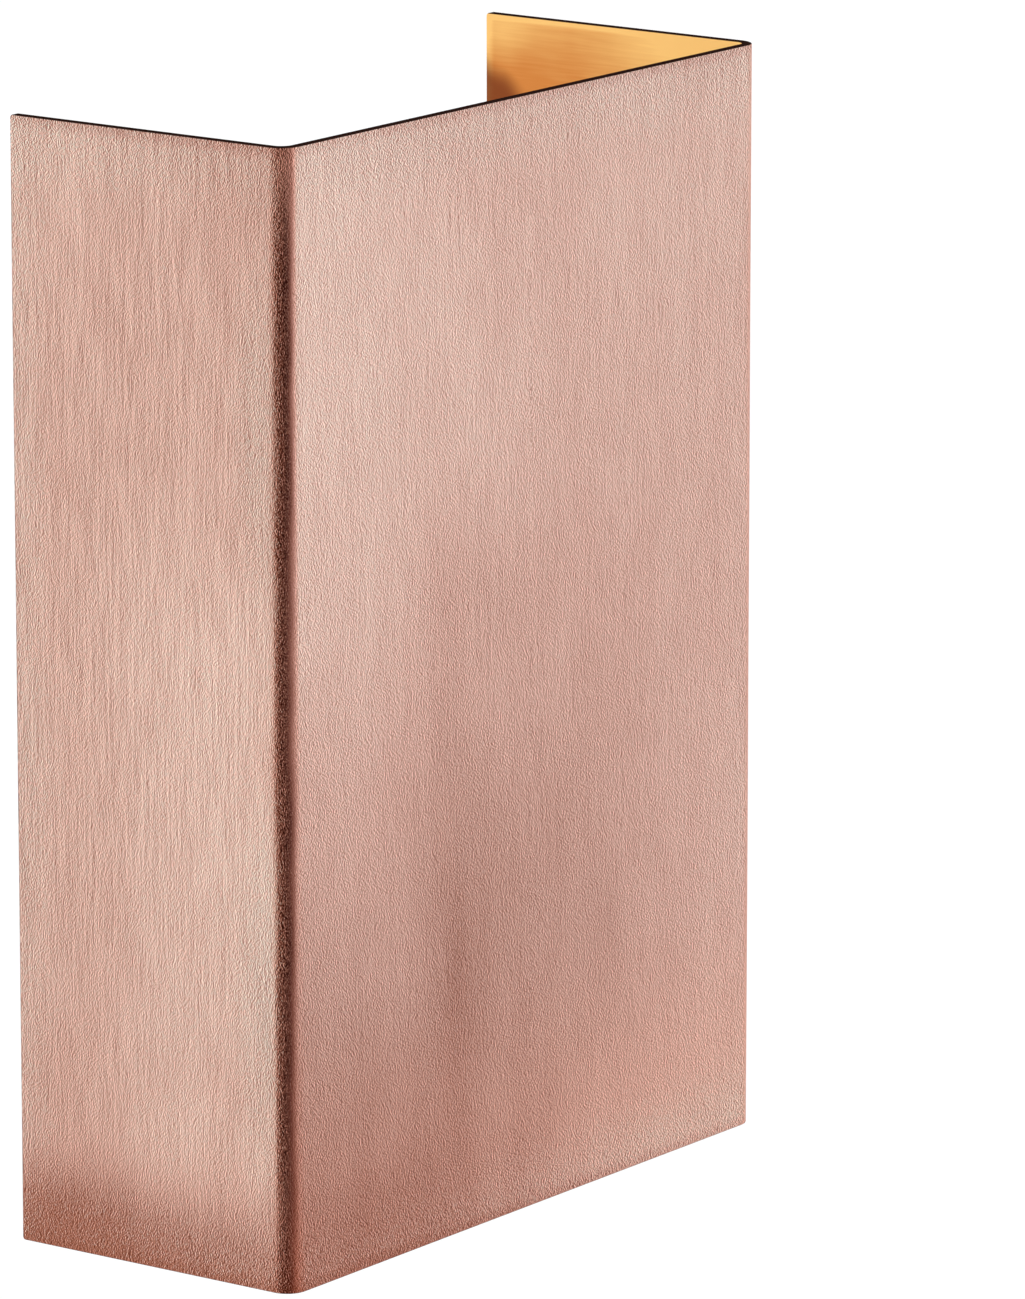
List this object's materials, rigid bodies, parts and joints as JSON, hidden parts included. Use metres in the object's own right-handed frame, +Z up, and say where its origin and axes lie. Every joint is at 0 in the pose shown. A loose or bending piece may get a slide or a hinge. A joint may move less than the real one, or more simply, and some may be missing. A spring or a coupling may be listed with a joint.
{
  "type": "outdoor wall light",
  "caption": "Outdoor wall light: a folded copper sheet shade, open at top and bottom, pulls off a sealed housing that throws light up and down the wall.",
  "frame": {"origin": "centre of the light on the wall face, at mid height of the shade", "axes": "+Z up, +Y into the wall, +X to the right for someone who faces the light"},
  "size_m": [0.15, 0.065, 0.215],
  "materials": {
    "copper_sheet": "matt brushed copper, golden inside, dark cut edges",
    "zinc_steel": "zinc plated, dull spangle",
    "stainless": "brushed stainless steel",
    "black_housing": "die-cast aluminium, fine black powder coat",
    "foam": "closed-cell foam",
    "black_rubber": "black rubber",
    "silicone": "soft silicone",
    "thermal_pad": "soft grey pad",
    "board_white": "aluminium board with white solder mask",
    "led_chip": "phosphor under a clear dome",
    "white_plastic": "moulded white plastic",
    "reflector_plastic": "metallised bright plastic",
    "clear_glass": "clear toughened glass",
    "circuit_board": "green circuit board",
    "transformer": "yellow taped winding",
    "capacitor": "dark sleeved can",
    "brass": "machined brass",
    "earth_lead": "green and yellow insulation",
    "live_lead": "brown insulation",
    "neutral_lead": "blue insulation",
    "led_lead": "white sheath"
  },
  "bodies": {
    "root": {"bezel_screws": "stainless", "block_screws": "zinc_steel", "board_screws": "stainless", "cable_grommet": "black_rubber", "driver_board": "circuit_board", "driver_capacitors": "capacitor", "driver_case": "white_plastic", "driver_lid": "white_plastic", "driver_screws": "zinc_steel", "driver_transformer": "transformer", "earth_lead": "earth_lead", "earth_screw": "brass", "earth_tag": "brass", "earth_washer": "brass", "housing": "black_housing", "housing_screws": "stainless", "lead_seals": "black_rubber", "live_lead": "live_lead", "lower_bezel": "black_housing", "lower_board_connector": "white_plastic", "lower_glass": "clear_glass", "lower_glass_seal": "silicone", "lower_led_board": "board_white", "lower_led_lead": "led_lead", "lower_leds": "led_chip", "lower_reflector": "reflector_plastic", "lower_thermal_pad": "thermal_pad", "neutral_lead": "neutral_lead", "plate_pillars": "brass", "screw_seals": "black_rubber", "side_buffers": "black_rubber", "terminal_block": "white_plastic", "terminal_clamps": "brass", "terminal_screws": "zinc_steel", "upper_bezel": "black_housing", "upper_board_connector": "white_plastic", "upper_glass": "clear_glass", "upper_glass_seal": "silicone", "upper_led_board": "board_white", "upper_led_lead": "led_lead", "upper_leds": "led_chip", "upper_reflector": "reflector_plastic", "upper_thermal_pad": "thermal_pad", "wall_gasket": "foam", "wall_plate": "zinc_steel"},
    "shade": {"shade": "copper_sheet", "upper_bracket": "stainless", "lower_bracket": "stainless", "shade_studs": "copper_sheet", "bracket_washers": "stainless", "bracket_nuts": "stainless"},
    "upper_washer": {"upper_clamp_washer": "stainless"},
    "upper_screw": {"upper_clamp_screw": "stainless"},
    "lower_washer": {"lower_clamp_washer": "stainless"},
    "lower_screw": {"lower_clamp_screw": "stainless"}
  },
  "joints": [
    {"name": "shade_pull", "type": "slide", "parent": "root", "child": "shade", "axis": [0, -1, 0], "range_m": [0, 0.07]},
    {"name": "upper_washer_lift", "type": "slide", "parent": "root", "child": "upper_washer", "axis": [0, 0, 1], "range_m": [0, 0.0036]},
    {"name": "upper_screw_turn", "type": "hinge", "parent": "upper_washer", "child": "upper_screw", "pos_m": [0, -0.042, 0.059], "axis": [0, 0, 1], "range_deg": [0, 1800]},
    {"name": "lower_washer_lift", "type": "slide", "parent": "root", "child": "lower_washer", "axis": [0, 0, -1], "range_m": [0, 0.0036]},
    {"name": "lower_screw_turn", "type": "hinge", "parent": "lower_washer", "child": "lower_screw", "pos_m": [0, -0.042, -0.059], "axis": [0, 0, -1], "range_deg": [0, 1800]}
  ],
  "couplings": [
    {"joint": "upper_washer_lift", "follows": "upper_screw_turn", "m_per_rad": 0.00011141},
    {"joint": "lower_washer_lift", "follows": "lower_screw_turn", "m_per_rad": 0.00011141}
  ]
}
